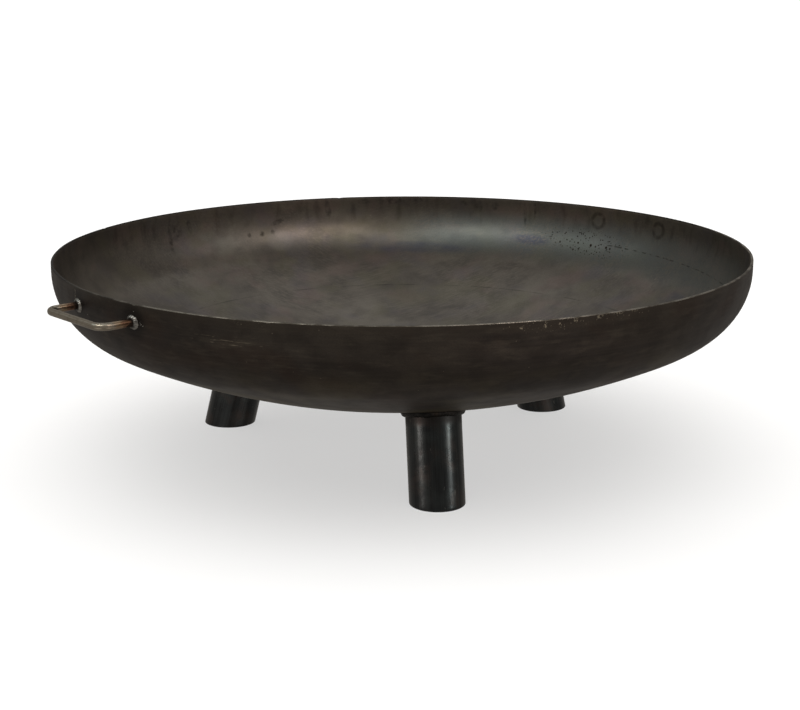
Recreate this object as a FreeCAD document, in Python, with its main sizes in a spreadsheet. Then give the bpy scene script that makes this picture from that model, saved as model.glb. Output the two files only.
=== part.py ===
import FreeCAD, Part
import math
import os
import Sketcher
from FreeCAD import Vector

# A fire bowl for a coal forge: one pressed dished pan of black steel sheet, three splayed tube
# legs welded under it, and two bent round-bar handles welded to its wall.
# Frame: millimetres, +Z up, +X along the line of the two handles, and the origin on the floor
# under the pan's axis.

DRIVING_DIMENSIONS = {
    # the pan: a torispherical dished end
    "total_height": 233.0,      # floor to rim
    "pan_radius": 400.0,        # outside of the rim
    "sheet_gauge": 3.0,         # thickness of the pressed sheet
    "crown_radius": 800.0,      # inside of the shallow dish, equal to the pan's diameter
    "knuckle_radius": 80.0,     # inside of the turned-up edge, a tenth of the diameter
    "rim_flange": 10.5,         # straight band above the knuckle, 3.5 times the gauge
    "rim_round": 0.8,           # rounding of the trimmed rim's two edges
    # the legs: cut lengths of tube, each one square to the crown where it is welded
    "leg_diameter": 60.3,
    "leg_wall": 2.9,
    "foot_circle": 230.0,       # radius of the circle through the feet's centres
    "leg_turn": -1.5,           # degrees from the handle line to the first leg
    "leg_weld": 4.5,            # leg length of the fillet weld
    # the handles: round bar bent to a U
    "bar_diameter": 8.0,
    "bar_drop": 19.0,           # rim down to the bar's centre line
    "handle_width": 106.0,      # between the centre lines of the bar's two ends
    "handle_reach": 33.0,       # pan's rim circle out to the grip's centre line
    "bend_radius": 12.0,        # of the bar's centre line
    "bar_start": 12.0,          # how far inside the rim circle the bar is drawn before trimming
    "ring_weld": 4.5,           # leg length of the weld round a bar end
}

# Formulas that several pieces share, written in the sheet's names.
CROWN_RISE = ("sqrt((dims.crown_radius - dims.knuckle_radius) ^ 2"
              " - (dims.pan_radius - dims.sheet_gauge - dims.knuckle_radius) ^ 2)")
CROWN_CENTRE = "(dims.total_height - dims.rim_flange + " + CROWN_RISE + ")"
CROWN_OUTSIDE = "(dims.crown_radius + dims.sheet_gauge)"
KNUCKLE_OUTSIDE = "(dims.knuckle_radius + dims.sheet_gauge)"
LEG_SPLAY = "atan(dims.foot_circle / " + CROWN_CENTRE + ")"
LEG_AXIS = "sqrt(dims.foot_circle ^ 2 + " + CROWN_CENTRE + " ^ 2)"

doc = FreeCAD.newDocument("coal_forge_bowl")


# ---------------------------------------------------------------- the sheet and its helpers

sheet = doc.addObject("Spreadsheet::Sheet", "dims")
for row, (alias, value) in enumerate(DRIVING_DIMENSIONS.items(), start=1):
    sheet.set("A%d" % row, alias.replace("_", " "))
    sheet.set("B%d" % row, str(value))
    sheet.setAlias("B%d" % row, alias)
doc.recompute()

size = {alias: float(sheet.get(alias)) for alias in DRIVING_DIMENSIONS}
crown_outside = size["crown_radius"] + size["sheet_gauge"]
knuckle_outside = size["knuckle_radius"] + size["sheet_gauge"]
knuckle_centre_x = size["pan_radius"] - knuckle_outside
crown_rise = math.sqrt((crown_outside - knuckle_outside) ** 2 - knuckle_centre_x ** 2)
flange_foot = size["total_height"] - size["rim_flange"]
crown_centre = flange_foot + crown_rise
leg_axis = math.hypot(size["foot_circle"], crown_centre)
leg_splay = math.atan2(size["foot_circle"], crown_centre)

ORIGIN = -1         # index of the sketch's horizontal axis, whose first point is the origin
V_AXIS = -2         # index of the sketch's vertical axis
START, END, CENTRE = 1, 2, 3


def new_body(label, placement_formula):
    """A body with its label, placed by a formula."""
    body = doc.addObject("PartDesign::Body", label)
    body.Label = label
    body.setExpression("Placement", placement_formula)
    return body


def new_sketch(body, plane_role, name):
    """A sketch on one of the body's own origin planes."""
    sketch = body.newObject("Sketcher::SketchObject", name)
    plane = next(item for item in body.Origin.OriginFeatures if item.Role == plane_role)
    sketch.AttachmentSupport = (plane, [""])
    sketch.MapMode = "FlatFace"
    return sketch


def line(sketch, start, end, construction=False):
    """A straight edge between two points of the sketch's plane."""
    return sketch.addGeometry(Part.LineSegment(Vector(*start, 0), Vector(*end, 0)), construction)


def arc(sketch, centre, radius, start_angle, end_angle):
    """An arc drawn anticlockwise between two angles in radians."""
    circle = Part.Circle(Vector(*centre, 0), Vector(0, 0, 1), radius)
    return sketch.addGeometry(Part.ArcOfCircle(circle, start_angle, end_angle), False)


def join(sketch, *pairs):
    """Make points coincide, each pair given as (edge, point, edge, point)."""
    for pair in pairs:
        sketch.addConstraint(Sketcher.Constraint("Coincident", *pair))


def smooth(sketch, *pairs):
    """Make edges meet in one tangent point, each pair given as (edge, point, edge, point)."""
    for pair in pairs:
        sketch.addConstraint(Sketcher.Constraint("Tangent", *pair))


def drive(sketch, name, kind, where, value, formula):
    """Add a dimension and tie it to the sheet."""
    index = sketch.addConstraint(Sketcher.Constraint(kind, *where, value))
    sketch.renameConstraint(index, name)
    sketch.setExpression("Constraints." + name, formula)


def turn(body, kind, name, sketch, axis):
    """Revolve a sketch a full turn about one of its axes, adding or removing material."""
    feature = body.newObject(kind, name)
    feature.Profile = sketch
    feature.ReferenceAxis = (sketch, [axis])
    feature.Angle = 360.0
    sketch.Visibility = False
    body.Tip = feature
    return feature


# ------------------------------------------------------------------------------ the pan
# Hot-pressed from one disc: a shallow spherical crown, a tighter knuckle that turns it up, and
# a short straight flange whose top is the trimmed rim.

def make_pan():
    """Revolve the wall's section, two concentric pairs of arcs and the flange, about the axis."""
    body = new_body("bowl", "placement(vector(0; 0; 0); rotation(0; 0; 0))")
    section = new_sketch(body, "XZ_Plane", "pan_section")
    radius, gauge, top = size["pan_radius"], size["sheet_gauge"], size["total_height"]
    crown_at = (0.0, crown_centre)
    knuckle_at = (knuckle_centre_x, flange_foot)
    down = -math.pi / 2
    meet = down + math.asin(knuckle_centre_x / (crown_outside - knuckle_outside))

    crown_out = arc(section, crown_at, crown_outside, down, meet)
    knuckle_out = arc(section, knuckle_at, knuckle_outside, meet, 0.0)
    flange_out = line(section, (radius, flange_foot), (radius, top))
    rim = line(section, (radius, top), (radius - gauge, top))
    flange_in = line(section, (radius - gauge, top), (radius - gauge, flange_foot))
    knuckle_in = arc(section, knuckle_at, size["knuckle_radius"], meet, 0.0)
    crown_in = arc(section, crown_at, size["crown_radius"], down, meet)
    axis = line(section, (0.0, crown_centre - size["crown_radius"]),
                (0.0, crown_centre - crown_outside))

    smooth(section, (crown_out, END, knuckle_out, START), (knuckle_out, END, flange_out, START),
           (crown_in, END, knuckle_in, START))
    join(section, (flange_out, END, rim, START), (rim, END, flange_in, START),
         (flange_in, END, knuckle_in, END), (crown_in, START, axis, START),
         (axis, END, crown_out, START), (knuckle_in, CENTRE, knuckle_out, CENTRE),
         (crown_in, CENTRE, crown_out, CENTRE))
    for edge, point in ((crown_out, CENTRE), (crown_out, START), (crown_in, START)):
        section.addConstraint(Sketcher.Constraint("PointOnObject", edge, point, V_AXIS))
    section.addConstraint(Sketcher.Constraint("Vertical", flange_out))
    section.addConstraint(Sketcher.Constraint("Vertical", flange_in))
    section.addConstraint(Sketcher.Constraint("Horizontal", rim))
    section.addConstraint(Sketcher.Constraint("Horizontal", flange_out, START, flange_in, END))

    drive(section, "outside", "DistanceX", (ORIGIN, START, flange_out, END), radius,
          "dims.pan_radius")
    drive(section, "rim_height", "DistanceY", (ORIGIN, START, flange_out, END), top,
          "dims.total_height")
    drive(section, "flange", "DistanceY", (flange_out, START, flange_out, END),
          size["rim_flange"], "dims.rim_flange")
    drive(section, "gauge", "DistanceX", (rim, END, rim, START), gauge, "dims.sheet_gauge")
    drive(section, "crown", "Radius", (crown_out,), crown_outside, CROWN_OUTSIDE)
    drive(section, "knuckle", "Radius", (knuckle_out,), knuckle_outside, KNUCKLE_OUTSIDE)
    pressed = turn(body, "PartDesign::Revolution", "pressed_pan", section, "V_Axis")
    doc.recompute()

    rim_edges = ["Edge%d" % number for number, edge in enumerate(pressed.Shape.Edges, start=1)
                 if edge.BoundBox.ZMin > top - 0.001 and edge.Length > radius]
    rounded = body.newObject("PartDesign::Fillet", "rim_rounding")
    rounded.Base = (pressed, rim_edges)
    rounded.setExpression("Radius", "dims.rim_round")
    body.Tip = rounded
    return body


# ------------------------------------------------------------------------------ the legs
# Each leg is drawn about its own axis, with the crown's centre as the body's origin and the leg
# hanging down local -Z. The tube therefore meets the crown squarely, and only its foot is cut
# at a slant to stand flat on the floor.

LEG_BEARINGS = {"right": 0.0, "back_left": 120.0, "front_left": 240.0}


def leg_placement(bearing):
    """The crown's centre, turned to the leg's bearing and leaned out by the splay."""
    return ("placement(vector(0; 0; %s); rotation(%g + dims.leg_turn; -%s; 0))"
            % (CROWN_CENTRE, bearing, LEG_SPLAY))


def make_leg(place, bearing):
    """Revolve the tube wall under the crown's arc, then cut the foot level with the floor."""
    body = new_body("leg_" + place, leg_placement(bearing))
    outer = size["leg_diameter"] / 2
    inner = outer - size["leg_wall"]
    below = leg_axis + size["leg_diameter"]

    wall = new_sketch(body, "XZ_Plane", "tube_wall_" + place)
    angle_in = -math.acos(inner / crown_outside)
    angle_out = -math.acos(outer / crown_outside)
    saddle = arc(wall, (0.0, 0.0), crown_outside, angle_in, angle_out)
    outside = line(wall, (outer, crown_outside * math.sin(angle_out)), (outer, -below))
    bottom = line(wall, (outer, -below), (inner, -below))
    inside = line(wall, (inner, -below), (inner, crown_outside * math.sin(angle_in)))
    join(wall, (saddle, END, outside, START), (outside, END, bottom, START),
         (bottom, END, inside, START), (inside, END, saddle, START),
         (saddle, CENTRE, ORIGIN, START))
    wall.addConstraint(Sketcher.Constraint("Vertical", outside))
    wall.addConstraint(Sketcher.Constraint("Vertical", inside))
    wall.addConstraint(Sketcher.Constraint("Horizontal", bottom))
    drive(wall, "saddle", "Radius", (saddle,), crown_outside, CROWN_OUTSIDE)
    drive(wall, "outer", "DistanceX", (ORIGIN, START, outside, END), outer,
          "dims.leg_diameter / 2")
    drive(wall, "thickness", "DistanceX", (bottom, END, bottom, START), size["leg_wall"],
          "dims.leg_wall")
    drive(wall, "uncut", "DistanceY", (bottom, START, ORIGIN, START), below,
          LEG_AXIS + " + dims.leg_diameter")
    tube = turn(body, "PartDesign::Revolution", "tube_" + place, wall, "V_Axis")
    doc.recompute()
    uncut_volume = tube.Shape.Volume

    ground = new_sketch(body, "XZ_Plane", "floor_line_" + place)
    reach = size["leg_diameter"]
    rise = reach * math.tan(leg_splay)
    floor = line(ground, (-reach, -leg_axis + rise), (reach, -leg_axis - rise))
    near = line(ground, (reach, -leg_axis - rise), (reach, -below - rise))
    base = line(ground, (reach, -below - rise), (-reach, -below - rise))
    far = line(ground, (-reach, -below - rise), (-reach, -leg_axis + rise))
    spoke = line(ground, (0.0, 0.0), (0.0, -leg_axis), construction=True)
    join(ground, (floor, END, near, START), (near, END, base, START), (base, END, far, START),
         (far, END, floor, START), (spoke, START, ORIGIN, START))
    for upright in (near, far, spoke):
        ground.addConstraint(Sketcher.Constraint("Vertical", upright))
    ground.addConstraint(Sketcher.Constraint("Horizontal", base))
    ground.addConstraint(
        Sketcher.Constraint("Symmetric", floor, START, floor, END, spoke, END))
    drive(ground, "foot_depth", "DistanceY", (spoke, END, ORIGIN, START), leg_axis, LEG_AXIS)
    drive(ground, "half_cut", "DistanceX", (spoke, END, floor, END), reach, "dims.leg_diameter")
    drive(ground, "slant", "DistanceY", (floor, END, floor, START), 2 * rise,
          "2 * dims.leg_diameter * tan(" + LEG_SPLAY + ")")
    drive(ground, "cut_depth", "DistanceY", (near, END, near, START), size["leg_diameter"],
          "dims.leg_diameter")
    foot = body.newObject("PartDesign::Pocket", "foot_cut_" + place)
    foot.Profile = ground
    foot.SideType = "Symmetric"
    foot.setExpression("Length", "2 * dims.leg_diameter")
    ground.Visibility = False
    body.Tip = foot
    doc.recompute()
    if not foot.Shape.Volume < uncut_volume:
        raise RuntimeError("the foot cut of leg_%s removed nothing" % place)
    return body


def make_leg_weld(place, bearing):
    """Revolve a slightly crowned fillet in the corner between the tube and the crown."""
    body = new_body("leg_weld_" + place, leg_placement(bearing))
    outer = size["leg_diameter"] / 2
    weld = size["leg_weld"]
    corner = -math.sqrt(crown_outside ** 2 - outer ** 2)
    toe = -math.sqrt(crown_outside ** 2 - (outer + weld) ** 2)

    bead = new_sketch(body, "XZ_Plane", "leg_bead_" + place)
    on_crown = arc(bead, (0.0, 0.0), crown_outside, math.atan2(corner, outer),
                   math.atan2(toe, outer + weld))
    on_tube = line(bead, (outer, corner), (outer, corner - weld))
    face_radius = 1.2 * weld
    half_chord = Vector(weld / 2, (toe - corner + weld) / 2, 0)
    inward = Vector(-half_chord.y, half_chord.x, 0).normalize()
    depth = math.sqrt(face_radius ** 2 - half_chord.Length ** 2)
    centre = Vector(outer, corner - weld, 0) + half_chord + inward * depth
    face = arc(bead, (centre.x, centre.y), face_radius,
               math.atan2(corner - weld - centre.y, outer - centre.x),
               math.atan2(toe - centre.y, outer + weld - centre.x))
    join(bead, (on_crown, START, on_tube, START), (on_tube, END, face, START),
         (face, END, on_crown, END), (on_crown, CENTRE, ORIGIN, START))
    bead.addConstraint(Sketcher.Constraint("Vertical", on_tube))
    drive(bead, "crown", "Radius", (on_crown,), crown_outside, CROWN_OUTSIDE)
    drive(bead, "tube", "DistanceX", (ORIGIN, START, on_tube, START), outer,
          "dims.leg_diameter / 2")
    drive(bead, "down_tube", "DistanceY", (on_tube, END, on_tube, START), weld,
          "dims.leg_weld")
    drive(bead, "along_crown", "DistanceX", (on_tube, START, on_crown, END), weld,
          "dims.leg_weld")
    drive(bead, "face", "Radius", (face,), face_radius, "1.2 * dims.leg_weld")
    turn(body, "PartDesign::Revolution", "bead_" + place, bead, "V_Axis")
    return body


# --------------------------------------------------------------------------- the handles
# A handle's body has its origin on the pan's axis at the height of the bar, so that the bar
# lies in the local XY plane. The bar is drawn into the pan and trimmed to its outside.

HANDLE_BEARINGS = {"left": 180.0, "right": 0.0}


def handle_placement(bearing):
    """The bar's height, turned to the handle's side."""
    return ("placement(vector(0; 0; dims.total_height - dims.bar_drop); rotation(%g; 0; 0))"
            % bearing)


def trim_to_pan(body, name):
    """Groove away all that lies inside the pan's outer face, about the pan's axis."""
    outline = new_sketch(body, "XZ_Plane", "pan_outside_" + name)
    radius = size["pan_radius"]
    flange_level = size["bar_drop"] - size["rim_flange"]
    half = knuckle_outside * math.sqrt(0.5)
    knee = (knuckle_centre_x + half, flange_level - half)
    top = line(outline, (0.0, size["bar_drop"]), (radius, size["bar_drop"]))
    flange = line(outline, (radius, size["bar_drop"]), (radius, flange_level))
    knuckle = arc(outline, (knuckle_centre_x, flange_level), knuckle_outside, -math.pi / 4, 0.0)
    floor = line(outline, knee, (0.0, knee[1]))
    axis = line(outline, (0.0, knee[1]), (0.0, size["bar_drop"]))
    smooth(outline, (flange, END, knuckle, END))
    join(outline, (top, END, flange, START), (knuckle, START, floor, START),
         (floor, END, axis, START), (axis, END, top, START))
    outline.addConstraint(Sketcher.Constraint("PointOnObject", top, START, V_AXIS))
    for upright in (flange, axis):
        outline.addConstraint(Sketcher.Constraint("Vertical", upright))
    for level in (top, floor):
        outline.addConstraint(Sketcher.Constraint("Horizontal", level))
    drive(outline, "outside", "DistanceX", (top, START, top, END), radius, "dims.pan_radius")
    drive(outline, "rim_level", "DistanceY", (ORIGIN, START, top, END), size["bar_drop"],
          "dims.bar_drop")
    drive(outline, "flange", "DistanceY", (flange, END, flange, START), size["rim_flange"],
          "dims.rim_flange")
    drive(outline, "knuckle", "Radius", (knuckle,), knuckle_outside, KNUCKLE_OUTSIDE)
    drive(outline, "knee", "DistanceY", (floor, START, flange, END), half,
          KNUCKLE_OUTSIDE + " * sqrt(0.5)")
    uncut_volume = body.Tip.Shape.Volume
    trimmed = turn(body, "PartDesign::Groove", "trim_" + name, outline, "V_Axis")
    doc.recompute()
    if not trimmed.Shape.Volume < uncut_volume:
        raise RuntimeError("the trim of %s removed nothing" % name)


def make_handle(side, bearing):
    """Sweep the bar's round section along a U, then trim its two ends to the pan."""
    body = new_body("handle_" + side, handle_placement(bearing))
    start_x = size["pan_radius"] - size["bar_start"]
    grip_x = size["pan_radius"] + size["handle_reach"]
    half = size["handle_width"] / 2
    bend = size["bend_radius"]

    route = new_sketch(body, "XY_Plane", "bar_route_" + side)
    front = line(route, (start_x, -half), (grip_x - bend, -half))
    front_bend = arc(route, (grip_x - bend, bend - half), bend, -math.pi / 2, 0.0)
    grip = line(route, (grip_x, bend - half), (grip_x, half - bend))
    back_bend = arc(route, (grip_x - bend, half - bend), bend, 0.0, math.pi / 2)
    back = line(route, (grip_x - bend, half), (start_x, half))
    smooth(route, (front, END, front_bend, START), (front_bend, END, grip, START),
           (grip, END, back_bend, START), (back_bend, END, back, START))
    route.addConstraint(Sketcher.Constraint("Horizontal", front))
    route.addConstraint(Sketcher.Constraint("Horizontal", back))
    route.addConstraint(Sketcher.Constraint("Vertical", grip))
    route.addConstraint(Sketcher.Constraint("Vertical", front, START, back, END))
    route.addConstraint(Sketcher.Constraint("Equal", front_bend, back_bend))
    drive(route, "start", "DistanceX", (ORIGIN, START, front, START), start_x,
          "dims.pan_radius - dims.bar_start")
    drive(route, "grip", "DistanceX", (ORIGIN, START, grip, START), grip_x,
          "dims.pan_radius + dims.handle_reach")
    drive(route, "bend", "Radius", (front_bend,), bend, "dims.bend_radius")
    drive(route, "front_half", "DistanceY", (front, START, ORIGIN, START), half,
          "dims.handle_width / 2")
    drive(route, "back_half", "DistanceY", (ORIGIN, START, back, START), half,
          "dims.handle_width / 2")

    section = new_sketch(body, "YZ_Plane", "bar_section_" + side)
    section.setExpression("AttachmentOffset.Base.z", "dims.pan_radius - dims.bar_start")
    circle = Part.Circle(Vector(-half, 0, 0), Vector(0, 0, 1), size["bar_diameter"] / 2)
    bar = section.addGeometry(circle, False)
    section.addConstraint(Sketcher.Constraint("PointOnObject", bar, CENTRE, ORIGIN))
    drive(section, "half", "DistanceX", (bar, CENTRE, ORIGIN, START), half,
          "dims.handle_width / 2")
    drive(section, "diameter", "Diameter", (bar,), size["bar_diameter"], "dims.bar_diameter")

    pipe = body.newObject("PartDesign::AdditivePipe", "bent_bar_" + side)
    pipe.Profile = section
    pipe.Spine = (route, [])
    route.Visibility = False
    section.Visibility = False
    body.Tip = pipe
    doc.recompute()
    trim_to_pan(body, "handle_" + side)
    return body


def make_ring_weld(side, end, bearing, across):
    """Revolve a rounded collar about one end of the bar, then trim it to the pan."""
    name = "handle_weld_" + side + "_" + end
    body = new_body(name, handle_placement(bearing))
    bar = size["bar_diameter"] / 2
    weld = size["ring_weld"]
    half = size["handle_width"] / 2
    offset = across * half
    start_x = size["pan_radius"] - size["bar_start"]
    wall_x = math.sqrt(size["pan_radius"] ** 2 - half ** 2)

    collar = new_sketch(body, "XY_Plane", "collar_" + side + "_" + end)
    axis = line(collar, (start_x, offset), (wall_x, offset), construction=True)
    on_bar = line(collar, (start_x, offset + bar), (wall_x + weld, offset + bar))
    face = arc(collar, (wall_x, offset + bar), weld, 0.0, math.pi / 2)
    outside = line(collar, (wall_x, offset + bar + weld), (start_x, offset + bar + weld))
    hidden = line(collar, (start_x, offset + bar + weld), (start_x, offset + bar))
    join(collar, (on_bar, END, face, START), (face, END, outside, START),
         (outside, END, hidden, START), (hidden, END, on_bar, START))
    for level in (axis, on_bar, outside):
        collar.addConstraint(Sketcher.Constraint("Horizontal", level))
    collar.addConstraint(Sketcher.Constraint("Vertical", hidden))
    collar.addConstraint(Sketcher.Constraint("Vertical", axis, START, hidden, START))
    collar.addConstraint(Sketcher.Constraint("Vertical", axis, END, face, CENTRE))
    collar.addConstraint(Sketcher.Constraint("Vertical", face, CENTRE, face, END))
    collar.addConstraint(Sketcher.Constraint("PointOnObject", face, CENTRE, on_bar))
    drive(collar, "start", "DistanceX", (ORIGIN, START, axis, START), start_x,
          "dims.pan_radius - dims.bar_start")
    drive(collar, "wall", "DistanceX", (ORIGIN, START, axis, END), wall_x,
          "sqrt(dims.pan_radius ^ 2 - dims.handle_width ^ 2 / 4)")
    points = (ORIGIN, START, axis, START) if across > 0 else (axis, START, ORIGIN, START)
    drive(collar, "half", "DistanceY", points, half, "dims.handle_width / 2")
    drive(collar, "bar_radius", "DistanceY", (axis, START, on_bar, START), bar,
          "dims.bar_diameter / 2")
    drive(collar, "face", "Radius", (face,), weld, "dims.ring_weld")
    turn(body, "PartDesign::Revolution", "ring_" + side + "_" + end, collar, "Axis0")
    doc.recompute()
    trim_to_pan(body, name)
    return body


# -------------------------------------------------------------------- assembly and output

bodies = [make_pan()]
for place, bearing in LEG_BEARINGS.items():
    bodies.append(make_leg(place, bearing))
    bodies.append(make_leg_weld(place, bearing))
for side, bearing in HANDLE_BEARINGS.items():
    bodies.append(make_handle(side, bearing))
    for end, across in (("front", -1), ("back", 1)):
        # the left handle is turned half a turn, which swaps its front and back ends
        sense = across if side == "right" else -across
        bodies.append(make_ring_weld(side, end, bearing, sense))
doc.recompute()

for item in doc.Objects:
    if "Invalid" in item.State or "Error" in item.State:
        raise RuntimeError("%s is in state %s" % (item.Name, item.State))
for body in bodies:
    if body.Shape.isNull() or not body.Shape.isValid():
        raise RuntimeError("%s has no valid shape" % body.Label)
    if len(body.Shape.Solids) != 1:
        raise RuntimeError("%s is not one solid" % body.Label)

os.makedirs("parts", exist_ok=True)
for body in bodies:
    body.Shape.exportStep("parts/%s.step" % body.Label)
    box = body.Shape.optimalBoundingBox(False, False)
    print("%-26s volume %9.1f mm3, x %7.1f..%6.1f, y %7.1f..%6.1f, z %6.1f..%6.1f" % (
        body.Label, body.Shape.Volume, box.XMin, box.XMax, box.YMin, box.YMax,
        box.ZMin, box.ZMax))
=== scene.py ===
import math

import bpy
import numpy as np
from mathutils import Matrix, Vector


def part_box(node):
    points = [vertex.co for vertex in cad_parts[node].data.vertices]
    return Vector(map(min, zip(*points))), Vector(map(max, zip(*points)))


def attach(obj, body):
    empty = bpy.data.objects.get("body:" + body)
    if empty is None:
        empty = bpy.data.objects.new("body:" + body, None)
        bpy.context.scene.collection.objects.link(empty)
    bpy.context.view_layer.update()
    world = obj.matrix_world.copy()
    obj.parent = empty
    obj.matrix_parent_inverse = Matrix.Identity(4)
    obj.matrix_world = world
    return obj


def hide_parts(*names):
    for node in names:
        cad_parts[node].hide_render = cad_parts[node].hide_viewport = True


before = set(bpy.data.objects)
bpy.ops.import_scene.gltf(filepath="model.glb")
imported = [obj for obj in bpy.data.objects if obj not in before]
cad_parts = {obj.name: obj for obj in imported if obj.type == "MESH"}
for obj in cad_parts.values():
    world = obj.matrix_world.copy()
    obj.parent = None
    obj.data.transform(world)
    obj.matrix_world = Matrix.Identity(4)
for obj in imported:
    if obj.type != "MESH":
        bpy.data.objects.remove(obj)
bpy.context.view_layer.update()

# ------------------------------------------------------------------------------- the pan
# One disc of 3 mm hot-rolled steel, pressed hot into a dished end: a shallow crown, a tighter
# knuckle that turns it up, and a short straight flange. The rim is trimmed and its two edges are
# rounded. The sheet keeps its dark mill scale, burnished by the press tool on the inside.

MM = 0.001
pan_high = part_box("bowl")[1]
RIM_RADIUS = pan_high.x
RIM_TOP = pan_high.z
GAUGE = 3.0 * MM
CROWN_RADIUS = 2.0 * RIM_RADIUS             # inside of the crown: the pan's diameter
KNUCKLE_RADIUS = 0.2 * RIM_RADIUS           # inside of the knuckle: a tenth of the diameter
FLANGE = 3.5 * GAUGE
RIM_ROUND = 0.8 * MM
KNUCKLE_CENTRE = RIM_RADIUS - GAUGE - KNUCKLE_RADIUS
FLANGE_FOOT = RIM_TOP - FLANGE
CROWN_CENTRE = FLANGE_FOOT + math.sqrt((CROWN_RADIUS - KNUCKLE_RADIUS) ** 2 - KNUCKLE_CENTRE ** 2)
CROWN_ANGLE = math.asin(KNUCKLE_CENTRE / (CROWN_RADIUS - KNUCKLE_RADIUS))
PAN_COLUMNS = 720


def arc_angles(start, end, count):
    """Evenly spaced angles that leave out the last one, where the next stretch starts."""
    return np.linspace(start, end, count, endpoint=False)


def pan_section():
    """The wall's section as rows of (r, z, dr, dz, side).

    The inside runs out along the crown, r = R sin a and z = C - R cos a, then along the knuckle,
    r = K + k sin a and z = F - k cos a, then up the flange. Two quarter rounds turn over the rim,
    and the outside runs back with each radius larger by the gauge. (dr, dz) points out of the
    sheet's outside, and side goes from 1 on the inside to 0 on the outside."""
    rows = []

    def arc(centre_r, centre_z, radius, angles, side):
        rows.extend((centre_r + radius * math.sin(a), centre_z - radius * math.cos(a),
                     math.sin(a), -math.cos(a), side) for a in angles)

    def flange(radius, heights, side):
        rows.extend((radius, height, 1.0, 0.0, side) for height in heights)

    knuckle_angles = arc_angles(CROWN_ANGLE, math.pi / 2, 17)
    crown_angles = arc_angles(CROWN_ANGLE / 38, CROWN_ANGLE, 37)
    round_foot = RIM_TOP - RIM_ROUND
    turn_over = np.linspace(0.0, math.pi / 2, 4)
    inner, outer = RIM_RADIUS - GAUGE, RIM_RADIUS
    arc(0.0, CROWN_CENTRE, CROWN_RADIUS, crown_angles, 1.0)
    arc(KNUCKLE_CENTRE, FLANGE_FOOT, KNUCKLE_RADIUS, knuckle_angles, 1.0)
    flange(inner, np.linspace(FLANGE_FOOT, round_foot, 4)[:-1], 1.0)
    rows.extend((inner + RIM_ROUND * (1 - math.cos(a)), round_foot + RIM_ROUND * math.sin(a),
                 1.0, 0.0, 0.5) for a in turn_over)
    rows.extend((outer - RIM_ROUND * (1 - math.cos(a)), round_foot + RIM_ROUND * math.sin(a),
                 1.0, 0.0, 0.5) for a in turn_over[::-1])
    flange(outer, np.linspace(round_foot, FLANGE_FOOT, 4)[1:], 0.0)
    arc(KNUCKLE_CENTRE, FLANGE_FOOT, KNUCKLE_RADIUS + GAUGE, knuckle_angles[::-1], 0.0)
    arc(0.0, CROWN_CENTRE, CROWN_RADIUS + GAUGE, crown_angles[::-1], 0.0)
    return np.array(rows)


def press_waviness(x, y):
    """How far the sheet stands off its true surface, in metres.

    A sum of 28 plane waves of the unrolled sheet, 90 to 330 mm long, each with the same small
    slope and its own direction and phase."""
    random = np.random.default_rng(7)
    total = np.zeros_like(x)
    for length in np.geomspace(90.0, 330.0, 28) * MM:
        direction, phase = random.uniform(0.0, 2 * math.pi, 2)
        across = x * math.cos(direction) + y * math.sin(direction)
        total += 0.0015 * length / (2 * math.pi) * np.cos(2 * math.pi * across / length + phase)
    return total


def skin(name, points, poles=(), wrap_rows=False, unrolled=None, sides=None):
    """A mesh over a grid of points, rows along it and columns round it, closed round the columns.

    poles are end points joined to the first and the last row by fans. With wrap_rows the last
    row joins the first. unrolled is a position for each point, for patterns that follow the
    piece, and sides a material number for each row of faces."""
    rows, columns = points.shape[:2]
    number = np.arange(rows * columns).reshape(rows, columns)
    first = number if wrap_rows else number[:-1]
    second = np.roll(number, -1, axis=0) if wrap_rows else number[1:]
    quads = np.stack([first, second, np.roll(second, -1, axis=1), np.roll(first, -1, axis=1)], -1)
    faces = quads.reshape(-1, 4).tolist()
    vertices = points.reshape(-1, 3)
    spread = unrolled if unrolled is not None else points
    spread = spread.reshape(-1, 3)
    numbers = [] if sides is None else np.repeat(sides[:len(quads)], columns).tolist()
    for pole, ring, row in zip(poles, (number[0], number[-1][::-1]), (0, -1)):
        spread = np.vstack([spread, spread[ring].mean(0)])
        fan = np.column_stack([np.full(columns, len(vertices)), ring, np.roll(ring, -1)])
        faces += fan.tolist()
        numbers += [] if sides is None else [sides[row]] * columns
        vertices = np.vstack([vertices, pole])
    mesh = bpy.data.meshes.new(name)
    mesh.from_pydata(vertices.tolist(), [], faces)
    follow = mesh.attributes.new("unrolled", "FLOAT_VECTOR", "POINT")
    follow.data.foreach_set("vector", spread.astype(np.float32).ravel())
    if sides is not None:
        mesh.polygons.foreach_set("material_index", numbers)
    mesh.shade_smooth()
    piece = bpy.data.objects.new(name, mesh)
    bpy.context.scene.collection.objects.link(piece)
    return piece


def rim_nicks(angle):
    """Depth of the small dents in the trimmed rim, a few millimetres wide, round the pan."""
    depth = np.zeros_like(angle)
    for bearing, width, deep in ((-171.9, 5.0, 0.9), (-154.2, 4.0, 0.4), (-149.0, 5.0, 0.5),
                                 (-111.0, 6.0, 0.6), (-106.4, 4.0, 0.5), (-38.0, 5.0, 0.5),
                                 (62.0, 6.0, 0.7), (118.0, 4.0, 0.5)):
        away = (angle - math.radians(bearing) + math.pi) % (2 * math.pi) - math.pi
        depth += deep * MM * np.exp(-(away * RIM_RADIUS / (0.5 * width * MM)) ** 2)
    return depth


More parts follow.
